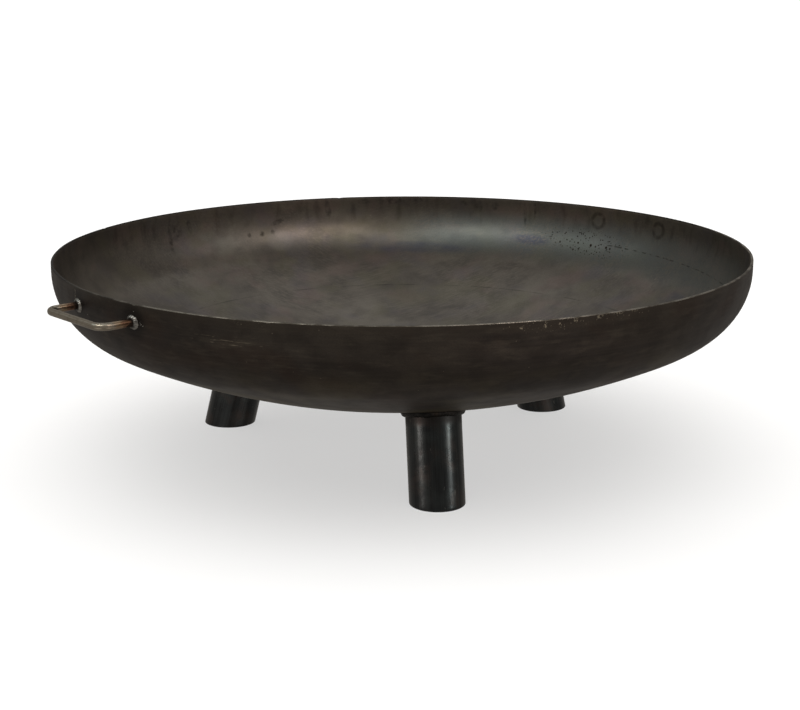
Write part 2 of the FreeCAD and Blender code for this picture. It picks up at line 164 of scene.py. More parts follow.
section = pan_section()
pan_angle = np.linspace(0.0, 2 * math.pi, PAN_COLUMNS, endpoint=False)
section_r, section_z, out_r, out_z = (section[:, k, None] for k in range(4))
reach = np.hypot(np.diff(section[:, 0]), np.diff(section[:, 1]))
run = np.concatenate([[section[0, 0]], section[0, 0] + np.cumsum(reach)])
middle = int(np.argmax(section[:, 1]))
from_centre = np.where(np.arange(len(run)) <= middle, run, run[-1] + section[-1, 0] - run)[:, None]
flat_x = from_centre * np.cos(pan_angle)
flat_y = from_centre * np.sin(pan_angle)
wave = press_waviness(flat_x, flat_y)
pan_r = section_r + wave * out_r
pan_z = section_z + wave * out_z
nicked = np.clip((section_z - RIM_TOP + 2 * RIM_ROUND) / RIM_ROUND, 0.0, 1.0)
pan_z = pan_z - nicked * rim_nicks(pan_angle)
pan_points = np.stack([pan_r * np.cos(pan_angle), pan_r * np.sin(pan_angle), pan_z], -1)
centre_wave = press_waviness(np.zeros(1), np.zeros(1))[0]
pan_poles = [(0.0, 0.0, CROWN_CENTRE - CROWN_RADIUS - centre_wave),
             (0.0, 0.0, CROWN_CENTRE - CROWN_RADIUS - GAUGE - centre_wave)]
INSIDE, OUTSIDE, TRIMMED = 0, 1, 2
row_finish = np.select([section[:-1, 4] == 1.0, section[1:, 4] == 0.0], [INSIDE, OUTSIDE], TRIMMED)
pan = skin("fire_pan", pan_points, poles=pan_poles, sides=row_finish,
           unrolled=np.stack([flat_x, flat_y, pan_z], -1))



def hex_colour(code):
    """A linear RGBA colour from an sRGB hex code."""
    levels = [int(code[k:k + 2], 16) / 255 for k in (1, 3, 5)]
    return (*(c / 12.92 if c <= 0.04045 else ((c + 0.055) / 1.055) ** 2.4 for c in levels), 1.0)


def add(tree, kind, inputs=None, **settings):
    """A node with its settings, and its inputs set to values or linked to other sockets."""
    made = tree.nodes.new("ShaderNode" + kind)
    for setting, value in settings.items():
        setattr(made, setting, value)
    for key, value in (inputs or {}).items():
        if isinstance(value, bpy.types.NodeSocket):
            tree.links.new(value, made.inputs[key])
        else:
            made.inputs[key].default_value = value
    return made


def new_material(name):
    """A material with an empty tree, its surface shader linked to the output."""
    material = bpy.data.materials.new(name)
    material.use_nodes = True
    tree = material.node_tree
    tree.nodes.clear()
    shader = add(tree, "BsdfPrincipled")
    add(tree, "OutputMaterial", {"Surface": shader.outputs[0]})
    return material, tree, shader


def within(tree, value, low, high, soft):
    """1 where the value is between low and high, falling smoothly to 0 over soft outside them."""
    away = add(tree, "Math", {0: value, 1: (low + high) / 2}, operation="SUBTRACT").outputs[0]
    away = add(tree, "Math", {0: away}, operation="ABSOLUTE").outputs[0]
    half = (high - low) / 2
    ends = {"Value": away, "From Min": half, "From Max": half + soft, "To Min": 1.0, "To Max": 0.0}
    return add(tree, "MapRange", ends, interpolation_type="SMOOTHSTEP").outputs[0]


def patches(tree, where, size, low, high, detail=3.0, shift=0.0, stretch=(1.0, 1.0, 1.0)):
    """Patches of noise of a size in millimetres, rising from 0 to 1 between two of its levels."""
    place = {"Vector": where, "Location": (shift, 0.7 * shift, 0.3 * shift), "Scale": stretch}
    noise = {"Vector": add(tree, "Mapping", place).outputs[0], "Scale": 1.0 / (size * MM),
             "Detail": detail}
    ends = {"Value": add(tree, "TexNoise", noise).outputs[0], "From Min": low, "From Max": high}
    return add(tree, "MapRange", ends, interpolation_type="SMOOTHSTEP").outputs[0]


def streaks(tree, where, bearing, across, along, low, high, shift=0.0):
    """Long thin patches at a bearing in degrees, across and along given in millimetres."""
    turned = {"Vector": where, "Rotation": (0.0, 0.0, -math.radians(bearing))}
    return patches(tree, add(tree, "Mapping", turned).outputs[0], across, low, high, detail=2.5,
                   shift=shift, stretch=(across / along, 1.0, 1.0))


def specks(tree, where, size, spread, share):
    """Round specks of a size in millimetres, one to a cell of spread, in a share of the cells."""
    cells = add(tree, "TexVoronoi", {"Vector": where, "Scale": 1.0 / (spread * MM)})
    dot = within(tree, cells.outputs["Distance"], 0.0, 0.25 * size / spread, 0.3 * size / spread)
    lot = add(tree, "SeparateColor", {0: cells.outputs["Color"]}).outputs[0]
    return joined(tree, "MULTIPLY", dot, within(tree, lot, 0.0, share, 0.01))


def spots(tree, place, ovals):
    """The largest of soft ovals, each (x, y, width, height, lean) in millimetres and degrees."""
    masks = []
    for x, y, width, height, lean in ovals:
        local = {"Vector": place, "Location": (x * MM, y * MM, 0.0),
                 "Rotation": (0.0, 0.0, math.radians(lean)),
                 "Scale": (width * MM / 2, height * MM / 2, 1.0)}
        local = add(tree, "Mapping", local, vector_type="TEXTURE").outputs[0]
        away = add(tree, "VectorMath", {0: local}, operation="LENGTH").outputs["Value"]
        masks.append(within(tree, away, -0.5, 0.5, 0.7))
    return joined(tree, "MAXIMUM", *masks)


def joined(tree, operation, *masks):
    """Masks, each a socket or a number, taken together by multiplying or by the largest."""
    result = masks[0]
    for mask in masks[1:]:
        result = add(tree, "Math", {0: result, 1: mask}, operation=operation).outputs[0]
    return result


def laid_over(tree, base, *coats):
    """The base with coats laid one over another: a mask, its share if not all, and the coat.

    The base and the coats are all colours or all numbers."""
    for mask, *share, coat in coats:
        mask = joined(tree, "MULTIPLY", mask, *share)
        if isinstance(coat, tuple):
            base = add(tree, "Mix", {0: mask, 6: base, 7: coat}, data_type="RGBA").outputs[2]
        else:
            base = add(tree, "Mix", {0: mask, 2: base, 3: coat}, data_type="FLOAT").outputs[0]
    return base


def carved(tree, *layers):
    """The surface's normal under layers, each a height from 0 to 1 and a depth in millimetres."""
    normal = None
    for height, depth in layers:
        inputs = {"Height": height, "Distance": depth * MM, "Strength": 1.0}
        if normal is not None:
            inputs["Normal"] = normal
        normal = add(tree, "Bump", inputs).outputs[0]
    return normal


def pan_places(tree):
    """The object's coordinates, its height, its angle, and its place on the unrolled wall."""
    where = add(tree, "TexCoord").outputs["Object"]
    parts = add(tree, "SeparateXYZ", {0: where})
    angle = {0: parts.outputs[1], 1: parts.outputs[0]}
    angle = add(tree, "Math", angle, operation="ARCTAN2").outputs[0]
    across = add(tree, "Math", {0: angle, 1: RIM_RADIUS}, operation="MULTIPLY").outputs[0]
    below = {0: RIM_TOP, 1: parts.outputs[2]}
    below = add(tree, "Math", below, operation="SUBTRACT").outputs[0]
    wall = add(tree, "CombineXYZ", {0: across, 1: below}).outputs[0]
    return where, parts.outputs[2], angle, wall


def rim_arc(bearing):
    """Millimetres along the rim from the X axis to a bearing in degrees."""
    return math.radians(bearing) * RIM_RADIUS / MM


bar_low, bar_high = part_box("handle_right")
BAR_RADIUS = 4.0 * MM
BAR_HEIGHT = (bar_low.z + bar_high.z) / 2
BAR_HALF = bar_high.y - BAR_RADIUS
bar_ends = [(side * math.sqrt(RIM_RADIUS ** 2 - BAR_HALF ** 2), across, BAR_HEIGHT)
            for side in (-1.0, 1.0) for across in (-BAR_HALF, BAR_HALF)]


def round_bar_ends(tree, where, low, high, soft):
    """A mask round each place where a handle's bar is welded, by distance in millimetres."""
    masks = []
    for end in bar_ends:
        gap = add(tree, "VectorMath", {0: where, 1: end}, operation="DISTANCE").outputs["Value"]
        masks.append(within(tree, gap, low * MM, high * MM, soft * MM))
    return joined(tree, "MAXIMUM", *masks)


# Hot-rolled steel with its scale, a hard grey oxide skin: dark, with a broad satin gleam that
# shifts between warm grey, olive and violet with the thickness of the oxide.
sheet_in, tree, shader = new_material("burnished_mill_scale")
where, height, angle, wall = pan_places(tree)
follow = add(tree, "Attribute", attribute_name="unrolled").outputs["Vector"]
flat = add(tree, "VectorMath", {0: follow, 1: (1.0, 1.0, 0.0)}, operation="MULTIPLY").outputs[0]
radius = add(tree, "VectorMath", {0: flat}, operation="LENGTH").outputs["Value"]

left_drag = streaks(tree, follow, -62.0, 2.6, 150.0, 0.40, 0.70)
right_drag = streaks(tree, follow, -14.0, 2.8, 130.0, 0.40, 0.70, shift=3.0)
sideways = {0: flat, 1: (math.cos(math.radians(-40.65)), math.sin(math.radians(-40.65)), 0.0)}
sideways = add(tree, "VectorMath", sideways, operation="DOT_PRODUCT").outputs["Value"]
to_right = within(tree, sideways, 0.0, 2.0 * RIM_RADIUS, 0.4 * RIM_RADIUS)
drag = add(tree, "Mix", {0: to_right, 2: left_drag, 3: right_drag}, data_type="FLOAT").outputs[0]
drag = joined(tree, "MULTIPLY", drag,
              patches(tree, follow, 95.0, 0.34, 0.62, detail=3.0, shift=21.0))
broad = patches(tree, follow, 130.0, 0.35, 0.68, detail=4.0)
cloudy = patches(tree, follow, 34.0, 0.38, 0.66, detail=4.0, shift=1.7)
pinkish = patches(tree, follow, 62.0, 0.50, 0.66, shift=5.1)
olive = patches(tree, follow, 55.0, 0.50, 0.66, shift=8.3)
violet = patches(tree, follow, 70.0, 0.52, 0.68, shift=11.9)
grain = patches(tree, follow, 1.6, 0.35, 0.7, detail=2.0)
ragged = patches(tree, where, 6.0, 0.26, 0.72, detail=4.0, shift=2.2)
blue_cloud = spots(tree, wall, ((rim_arc(47.0), 67.0, 170.0, 15.0, -1.0),
                                (rim_arc(22.0), 52.0, 60.0, 14.0, -2.0),
                                (rim_arc(-24.0), 84.0, 90.0, 14.0, -2.0),
                                (rim_arc(-140.0), 70.0, 160.0, 30.0, 0.0)))
blue_cloud = joined(tree, "MULTIPLY", blue_cloud,
                    patches(tree, follow, 60.0, 0.26, 0.56, detail=3.0, shift=15.0))
pale = spots(tree, wall, ((rim_arc(75.3), 52.0, 44.0, 28.0, 0.0),))
teal = joined(tree, "MULTIPLY", within(tree, angle, math.radians(-35.0), math.radians(40.0), 0.25),
              within(tree, height, RIM_TOP - 62.0 * MM, RIM_TOP - 34.0 * MM, 22.0 * MM))

ring_line = joined(tree, "MULTIPLY", within(tree, radius, 307.2 * MM, 308.2 * MM, 1.0 * MM),
                   patches(tree, follow, 30.0, 0.40, 0.66, shift=6.6))
pit_depth = {"Value": angle, "From Min": math.radians(-33.0), "From Max": math.radians(4.0),
             "To Min": 53.0 * MM, "To Max": 48.0 * MM}
pit_depth = add(tree, "MapRange", pit_depth).outputs[0]
pit_gap = add(tree, "SeparateXYZ", {0: wall}).outputs[1]
pit_gap = add(tree, "Math", {0: pit_gap, 1: pit_depth}, operation="SUBTRACT").outputs[0]
pit_line = joined(tree, "MULTIPLY", within(tree, pit_gap, -0.3 * MM, 0.3 * MM, 0.7 * MM),
                  within(tree, angle, math.radians(-34.0), math.radians(5.0), 0.04),
                  patches(tree, where, 8.0, 0.44, 0.60, detail=2.0, shift=4.4))
rust_zone = spots(tree, wall, ((rim_arc(9.0), 48.0, 150.0, 34.0, -4.0),))
crumbs = joined(tree, "MAXIMUM", specks(tree, where, 2.2, 3.1, 0.5),
                specks(tree, where, 4.2, 9.5, 0.55))
rust = joined(tree, "MULTIPLY", rust_zone, crumbs)
pepper = joined(tree, "MULTIPLY", specks(tree, follow, 1.6, 17.0, 0.35), 0.8)
dust = specks(tree, where, 1.5, 13.0, 0.22)
stains = joined(tree, "MULTIPLY", ragged, spots(tree, wall, (
    (rim_arc(64.4), 15.0, 9.0, 30.0, 6.0), (rim_arc(64.0), 21.0, 5.0, 16.0, -10.0),
    (rim_arc(100.0), 30.0, 9.0, 44.0, -8.0), (rim_arc(98.5), 24.0, 22.0, 26.0, 0.0),
    (rim_arc(95.0), 20.0, 8.0, 20.0, 10.0), (rim_arc(23.9), 19.0, 6.0, 34.0, 4.0),
    (rim_arc(21.8), 14.0, 4.0, 24.0, 0.0), (rim_arc(51.0), 5.0, 30.0, 12.0, 4.0),
    (rim_arc(46.5), 4.0, 26.0, 9.0, -6.0), (rim_arc(33.6), 12.0, 12.0, 18.0, 0.0),
    (rim_arc(36.5), 8.0, 16.0, 9.0, 0.0), (rim_arc(30.3), 10.0, 10.0, 14.0, 0.0),
    (rim_arc(57.0), 6.0, 22.0, 8.0, 0.0), (rim_arc(75.0), 28.0, 26.0, 7.0, 18.0),
    (rim_arc(76.4), 41.0, 7.0, 7.0, 0.0), (rim_arc(78.8), 42.0, 8.0, 8.0, 0.0),
    (rim_arc(81.6), 42.0, 7.0, 7.0, 0.0), (rim_arc(-62.0), 18.0, 8.0, 34.0, 3.0),
    (rim_arc(-118.0), 22.0, 7.0, 38.0, -5.0), (rim_arc(151.0), 16.0, 8.0, 30.0, 0.0),
    (rim_arc(-158.0), 20.0, 9.0, 32.0, 7.0))))
smears = joined(tree, "MULTIPLY",
                patches(tree, wall, 13.0, 0.48, 0.74, detail=4.0, stretch=(1.0, 0.35, 1.0)),
                within(tree, height, RIM_TOP - 16.0 * MM, RIM_TOP + 20.0 * MM, 34.0 * MM))
heat_ring = joined(tree, "MULTIPLY", round_bar_ends(tree, where, 9.6, 10.6, 3.4),
                   patches(tree, where, 7.0, 0.18, 0.60, detail=3.0, shift=2.2))
heat_centre = round_bar_ends(tree, where, -8.0, 4.0, 5.0)

colour = laid_over(tree, hex_colour("#635c54"),
                   (broad, 0.85, hex_colour("#7a7368")),
                   (cloudy, 0.5, hex_colour("#4e4945")),
                   (pinkish, 0.55, hex_colour("#786861")),
                   (olive, 0.50, hex_colour("#696453")),
                   (violet, 0.35, hex_colour("#5f5a61")),
                   (teal, 0.50, hex_colour("#687171")),
                   (blue_cloud, 0.65, hex_colour("#4a4c5d")),
                   (pale, 0.5, hex_colour("#7b7671")),
                   (drag, 0.45, hex_colour("#7a7166")),
                   (grain, 0.18, hex_colour("#3b3733")),
                   (heat_centre, 0.45, hex_colour("#6a6864")),
                   (smears, 0.45, hex_colour("#39342f")),
                   (heat_ring, 0.55, hex_colour("#2d2926")),
                   (stains, 0.62, hex_colour("#201c19")),
                   (ring_line, 0.45, hex_colour("#292624")),
                   (pit_line, 0.55, hex_colour("#1e1a17")),
                   (dust, 0.35, hex_colour("#9d968b")),
                   (pepper, hex_colour("#231d19")),
                   (rust, 0.9, hex_colour("#2a1c16")))
tree.links.new(colour, shader.inputs["Base Color"])
shine = laid_over(tree, 0.40, (cloudy, 0.6, 0.48),
                  (drag, 0.5, 0.33), (stains, 0.62), (rust, 0.85))
tree.links.new(shine, shader.inputs["Roughness"])
shader.inputs["Metallic"].default_value = 0.85
dents = patches(tree, follow, 26.0, 0.2, 0.8, detail=2.0, shift=9.0)
pits = joined(tree, "MAXIMUM", pit_line, rust)
tree.links.new(carved(tree, (dents, 0.07), (drag, 0.005), (grain, 0.008), (pits, -0.12)),
               shader.inputs["Normal"])

# The outside was against the die: a darker, browner and duller scale, chipped to bright steel
# near the rim where the pan was dragged and stacked.
sheet_out, tree, shader = new_material("brown_mill_scale")
where, height, angle, wall = pan_places(tree)
follow = add(tree, "Attribute", attribute_name="unrolled").outputs["Vector"]
broad = patches(tree, follow, 150.0, 0.36, 0.66, detail=4.0, shift=2.0)
cloudy = patches(tree, follow, 28.0, 0.38, 0.66, detail=4.0, shift=7.0)
umber = patches(tree, follow, 75.0, 0.46, 0.66, shift=12.0)
olive = joined(tree, "MULTIPLY", patches(tree, follow, 90.0, 0.42, 0.62, detail=4.0, shift=15.0),
               within(tree, height, 40.0 * MM, RIM_TOP - 80.0 * MM, 40.0 * MM))
rubbed = patches(tree, wall, 7.0, 0.50, 0.72, detail=4.0, shift=4.0, stretch=(0.25, 1.0, 1.0))
grain = patches(tree, follow, 1.5, 0.35, 0.7, detail=2.0)
hoops = patches(tree, where, 2.2, 0.40, 0.64, detail=2.0, stretch=(0.02, 0.02, 1.0))
pepper = specks(tree, follow, 1.5, 19.0, 0.4)
flecks = specks(tree, where, 1.3, 9.0, 0.16)
scrapes = joined(tree, "MULTIPLY", spots(tree, wall, ((rim_arc(-155.5), 23.0, 105.0, 13.0, 0.0),)),
                 patches(tree, wall, 1.8, 0.60, 0.66, detail=2.0, stretch=(0.12, 1.0, 1.0)))
chips = joined(tree, "MULTIPLY",
               patches(tree, wall, 2.0, 0.64, 0.70, shift=1.1, stretch=(1.0, 0.6, 1.0)),
               spots(tree, wall, ((rim_arc(-110.0), 5.0, 110.0, 14.0, 0.0),
                                  (rim_arc(-99.5), 2.0, 90.0, 12.0, 0.0),
                                  (rim_arc(-152.0), 2.0, 60.0, 8.0, 0.0),
                                  (rim_arc(-62.0), 3.0, 70.0, 9.0, 0.0),
                                  (rim_arc(72.0), 4.0, 110.0, 11.0, 0.0),
                                  (rim_arc(128.0), 3.0, 60.0, 8.0, 0.0))))
nicks = spots(tree, wall, ((rim_arc(-114.3), 7.0, 7.0, 3.0, 25.0), (rim_arc(-111.0), 5.0, 3.0, 9.0, 8.0),
                           (rim_arc(-108.8), 6.0, 3.0, 6.0, -20.0), (rim_arc(-106.4), 3.0, 5.0, 5.0, 0.0),
                           (rim_arc(-102.5), 2.5, 9.0, 4.0, -5.0), (rim_arc(-99.5), 1.5, 14.0, 3.0, 0.0),
                           (rim_arc(-96.5), 1.5, 9.0, 3.0, 0.0), (rim_arc(171.4), 9.0, 3.0, 14.0, 4.0)))
nicks = joined(tree, "MULTIPLY", nicks,
               patches(tree, where, 1.8, 0.46, 0.60, detail=2.0, shift=6.1))
chips = joined(tree, "MAXIMUM", chips, nicks)
near_rim = within(tree, height, RIM_TOP - 4.0 * MM, RIM_TOP + 20.0 * MM, 9.0 * MM)
scorched = round_bar_ends(tree, where, -30.0, 11.0, 11.0)

colour = laid_over(tree, hex_colour("#3b3532"),
                   (broad, 0.8, hex_colour("#4a433c")),
                   (cloudy, 0.5, hex_colour("#2e2926")),
                   (umber, 0.5, hex_colour("#45372f")),
                   (olive, 0.8, hex_colour("#585040")),
                   (rubbed, 0.35, hex_colour("#5d554b")),
                   (hoops, 0.10, hex_colour("#5a5146")),
                   (grain, 0.2, hex_colour("#221e1a")),
                   (near_rim, 0.25, hex_colour("#4d453c")),
                   (scorched, 0.6, hex_colour("#1f1b19")),
                   (pepper, 0.5, hex_colour("#191612")),
                   (flecks, 0.5, hex_colour("#8a8070")),
                   (scrapes, 0.5, hex_colour("#857b6b")),
                   (chips, 0.85, hex_colour("#a39885")))
tree.links.new(colour, shader.inputs["Base Color"])
shine = laid_over(tree, 0.50, (cloudy, 0.6, 0.58),
                  (hoops, 0.15, 0.44), (chips, 0.30), (scrapes, 0.36))
tree.links.new(shine, shader.inputs["Roughness"])
shader.inputs["Metallic"].default_value = 0.85
dents = patches(tree, follow, 30.0, 0.2, 0.8, detail=2.0, shift=4.0)
pits = joined(tree, "MAXIMUM", chips, pepper)
tree.links.new(carved(tree, (dents, 0.10), (grain, 0.010), (pits, -0.08)),
               shader.inputs["Normal"])

# The trimmed rim: sheared and filed steel, brighter than the scale but already dulled.
rim_edge, tree, shader = new_material("filed_steel_edge")
where = add(tree, "TexCoord").outputs["Object"]
filed = patches(tree, where, 1.2, 0.35, 0.68, detail=2.0)
wear_and_painted_highlight = patches(tree, where, 22.0, 0.40, 0.62, detail=3.0, shift=3.0)
# Painted highlight: the rim's side towards the camera is painted lighter, and its worn patches are kept
# to that side.
towards = add(tree, "VectorMath", {0: where, 1: (-0.26, -0.97, 0.0)}, operation="DOT_PRODUCT")
near_side_painted_highlight = within(tree, towards.outputs["Value"], 0.27, 1.0, 0.30)
wear_and_painted_highlight = joined(tree, "MULTIPLY", wear_and_painted_highlight, near_side_painted_highlight)
colour = laid_over(tree, hex_colour("#2b2723"),
                   (near_side_painted_highlight, 0.7, hex_colour("#6e675d")),
                   (wear_and_painted_highlight, hex_colour("#9a9388")),
                   (filed, 0.35, hex_colour("#35312c")))
tree.links.new(colour, shader.inputs["Base Color"])
tree.links.new(laid_over(tree, 0.55, (wear_and_painted_highlight, 0.36), (filed, 0.50)), shader.inputs["Roughness"])
shader.inputs["Metallic"].default_value = 1.0
tree.links.new(carved(tree, (filed, 0.03)), shader.inputs["Normal"])

for finish in (sheet_in, sheet_out, rim_edge):
    pan.data.materials.append(finish)
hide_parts("bowl")
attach(pan, "root")

# ------------------------------------------------------------------------------ the legs
# Three lengths of 60 mm welded steel tube with a 2.9 mm wall, still in their black skin. Each
# points at the centre of the pan's curve, so its top is cut square, and its foot is sawn level.

TUBE_OUTSIDE = 30.15 * MM
TUBE_INSIDE = TUBE_OUTSIDE - 2.9 * MM
FOOT_CIRCLE = 230.0 * MM
SADDLE = CROWN_RADIUS + GAUGE               # radius of the pan's outside over the legs
LEGS = {"right": -1.5, "back_left": 118.5, "front_left": -121.5}


def leg_axes(bearing):
    """The leg's line, and the two directions square to it, up the slope and level."""
    turn = math.radians(bearing)
    foot = np.array([FOOT_CIRCLE * math.cos(turn), FOOT_CIRCLE * math.sin(turn), 0.0])
    line = foot - (0.0, 0.0, CROWN_CENTRE)
    line /= np.linalg.norm(line)
    level = np.array([-math.sin(turn), math.cos(turn), 0.0])
    return line, np.cross(level, line), level


def leg_points(bearing, around):
    """The tube's surface and its unrolled place, from rows of (radius, share, shift).

    A point is C + t d + q (a cos v + b sin v), where C is the centre of the pan's curve and d the
    leg's line. t runs by the share from sqrt(S^2 - q^2), on the pan's outside, to where the
    point's height is 0, and the shift then draws it back from the foot. The wall is out of
    round by a tenth of a millimetre, and the tube's own weld stands as a bead inside it."""
    line, slope, level = leg_axes(bearing)
    corner = np.linspace(0.0, math.pi / 2, 4)
    edge = 0.5 * MM
    shares = np.linspace(0.0, 1.0, 33)
    rows = [(TUBE_OUTSIDE, share, edge * share) for share in shares]
    rows += [(TUBE_OUTSIDE - edge * (1 - math.cos(a)), 1.0, edge * (1 - math.sin(a)))
             for a in corner[1:]]
    rows += [(TUBE_INSIDE + edge * (1 - math.cos(a)), 1.0, edge * (1 - math.sin(a)))
             for a in corner[:0:-1]]
    rows += [(TUBE_INSIDE, share, edge * share) for share in shares[::-1]]
    radius, share, shift = (np.array(rows)[:, k, None] for k in range(3))
    outside = radius > (TUBE_OUTSIDE + TUBE_INSIDE) / 2
    bead = np.exp(-((around - 2.4) * TUBE_INSIDE / (1.6 * MM)) ** 2)
    q = radius + 0.1 * MM * np.cos(2 * around + 1.0 + bearing) - np.where(outside, 0.0, 0.7 * MM * bead)
    start = np.sqrt(SADDLE ** 2 - q ** 2)
    away = q[..., None] * (np.cos(around)[:, None] * slope + np.sin(around)[:, None] * level)
    end = (CROWN_CENTRE + away[..., 2]) / -line[2]
    t = start + share * (end - start) - shift
    points = (0.0, 0.0, CROWN_CENTRE) + t[..., None] * line + away
    unrolled = np.stack([q * np.cos(around), q * np.sin(around), t - SADDLE], -1)
    return points[::-1], unrolled[::-1]


# Black tube skin: thin blue-black scale over smooth steel, glossier than the pan, with a long
# soft gleam down each side, a faint seam line, scuffs, brown patches, and a brown band at the top.
tube_skin, tree, shader = new_material("blue_black_tube_skin")
follow = add(tree, "Attribute", attribute_name="unrolled").outputs["Vector"]
parts = add(tree, "SeparateXYZ", {0: follow})
around_leg = {0: parts.outputs[1], 1: parts.outputs[0]}
around_leg = add(tree, "Math", around_leg, operation="ARCTAN2").outputs[0]
drawn = patches(tree, follow, 1.6, 0.36, 0.66, detail=2.0, stretch=(1.0, 1.0, 0.03))
cloudy = patches(tree, follow, 18.0, 0.40, 0.66, detail=4.0, shift=2.0)
brown = patches(tree, follow, 26.0, 0.48, 0.68, detail=3.0, shift=6.0)
grain = patches(tree, follow, 1.0, 0.40, 0.70, detail=2.0)
scuffs = patches(tree, follow, 3.2, 0.69, 0.76, detail=3.0, shift=9.0, stretch=(1.0, 1.0, 0.4))
seam = within(tree, around_leg, 2.38, 2.42, 0.03)
burnt = within(tree, parts.outputs[2], -5.0 * MM, 7.0 * MM, 9.0 * MM)
colour = laid_over(tree, hex_colour("#202122"),
                   (cloudy, 0.6, hex_colour("#2d3030")),
                   (brown, 0.55, hex_colour("#372c27")),
                   (drawn, 0.30, hex_colour("#3b3f3f")),
                   (grain, 0.15, hex_colour("#16181b")),
                   (seam, 0.45, hex_colour("#16191b")),
                   (burnt, 0.6, hex_colour("#241d1a")),
                   (scuffs, 0.5, hex_colour("#5d5a55")))
tree.links.new(colour, shader.inputs["Base Color"])
shine = laid_over(tree, 0.25, (cloudy, 0.5, 0.30),
                  (brown, 0.6, 0.33), (burnt, 0.5), (scuffs, 0.5))
tree.links.new(shine, shader.inputs["Roughness"])
shader.inputs["Metallic"].default_value = 0.75
tree.links.new(carved(tree, (cloudy, 0.05), (drawn, 0.012), (grain, 0.008), (seam, -0.05)),
               shader.inputs["Normal"])

leg_around = np.linspace(0.0, 2 * math.pi, 120, endpoint=False)
for place, bearing in LEGS.items():
    points, unrolled = leg_points(bearing, leg_around)
    leg = skin("tube_leg_" + place, points, wrap_rows=True, unrolled=unrolled)
    leg.data.materials.append(tube_skin)
    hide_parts("leg_" + place)
    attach(leg, "root")

# ------------------------------------------------------------------------- the leg welds
# A 4.5 mm fillet weld all round the top of each leg, run by hand in one pass and left as laid:
# a low bulging bead with close curved ripples, a thicker stop, and soot from the flux.

LEG_FILLET = 4.5 * MM


def leg_bead(bearing, seed):
    """The bead's surface and its unrolled place.

    Its section goes from (tube, fillet below the pan) to (tube + fillet, on the pan) along a
    chord that bulges by a half sine, and closes inside the metal. The bulge and the width are
    rippled by a cosine of the angle whose phase bends across the bead, so the ripples are
    crescents, and swell by a bell curve at the stop."""
    line, slope, level = leg_axes(bearing)
    around = np.linspace(0.0, 2 * math.pi, 480, endpoint=False)
    share = np.linspace(0.0, 1.0, 13)[:, None]
    random = np.random.default_rng(seed)
    ripples = 56
    wander = sum(random.uniform(0.3, 1.0) * np.cos(k * around + random.uniform(0.0, 6.3))
                 for k in (2, 3, 5, 8, 13)) / 3.0
    phase = ripples * around + 1.6 * np.sin(math.pi * share) + 1.5 * wander
    ripple = (0.5 + 0.5 * np.cos(phase)) ** 0.7
    stop = np.exp(-((around - random.uniform(0.5, 5.5)) * TUBE_OUTSIDE / (4.5 * MM)) ** 2)
    wide = LEG_FILLET * (1.0 + 0.10 * wander + 0.22 * stop)
    bulge = (0.5 + 0.38 * ripple * np.sin(math.pi * share) + 0.2 * wander + 0.9 * stop) * MM
    bulge = bulge * np.sin(math.pi * share)
    q = TUBE_OUTSIDE + wide * share + 0.7 * bulge
    t = np.sqrt(SADDLE ** 2 - q ** 2) + wide * (1 - share) + 0.7 * bulge
    hidden_q = TUBE_OUTSIDE + np.array([[2.0], [-0.8]]) * MM + 0.0 * around
    hidden_t = np.sqrt(SADDLE ** 2 - hidden_q ** 2) + np.array([[-0.9], [1.5]]) * MM
    q = np.vstack([q, hidden_q])
    t = np.vstack([t, hidden_t])
    away = q[..., None] * (np.cos(around)[:, None] * slope + np.sin(around)[:, None] * level)
    points = (0.0, 0.0, CROWN_CENTRE) + t[..., None] * line + away
    unrolled = np.stack([q * np.cos(around), q * np.sin(around), t - SADDLE], -1)
    return points, unrolled


# Weld metal dulled by soot: dark grey with brown and straw tints, satin on the ripples' crowns.
sooty_bead, tree, shader = new_material("sooty_weld_metal")
where = add(tree, "TexCoord").outputs["Object"]
soot = patches(tree, where, 9.0, 0.38, 0.64, detail=3.0)
straw = patches(tree, where, 14.0, 0.52, 0.68, detail=2.0, shift=5.0)
grit = patches(tree, where, 0.9, 0.40, 0.68, detail=2.0, shift=2.0)
colour = laid_over(tree, hex_colour("#2a2725"), (soot, hex_colour("#181615")),
                   (straw, 0.35, hex_colour("#483a2e")),
                   (grit, 0.3, hex_colour("#141312")))
tree.links.new(colour, shader.inputs["Base Color"])
tree.links.new(laid_over(tree, 0.40, (soot, 0.62), (grit, 0.5)), shader.inputs["Roughness"])
shader.inputs["Metallic"].default_value = 0.8
tree.links.new(carved(tree, (grit, 0.04)), shader.inputs["Normal"])

for seed, (place, bearing) in enumerate(LEGS.items()):
    points, unrolled = leg_bead(bearing, 20 + seed)
    bead = skin("leg_bead_" + place, points, wrap_rows=True, unrolled=unrolled)
    bead.data.materials.append(sooty_bead)
    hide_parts("leg_weld_" + place)
    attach(bead, "root")

# --------------------------------------------------------------------------- the handles
# Two U-shaped pulls of 8 mm cold-drawn bright steel bar, bent round a small former, which
# flattens the bar a little in each bend. Welding has tinted both ends brown and blue.

GRIP_OUT = bar_high.x - BAR_RADIUS
BEND = 12.0 * MM


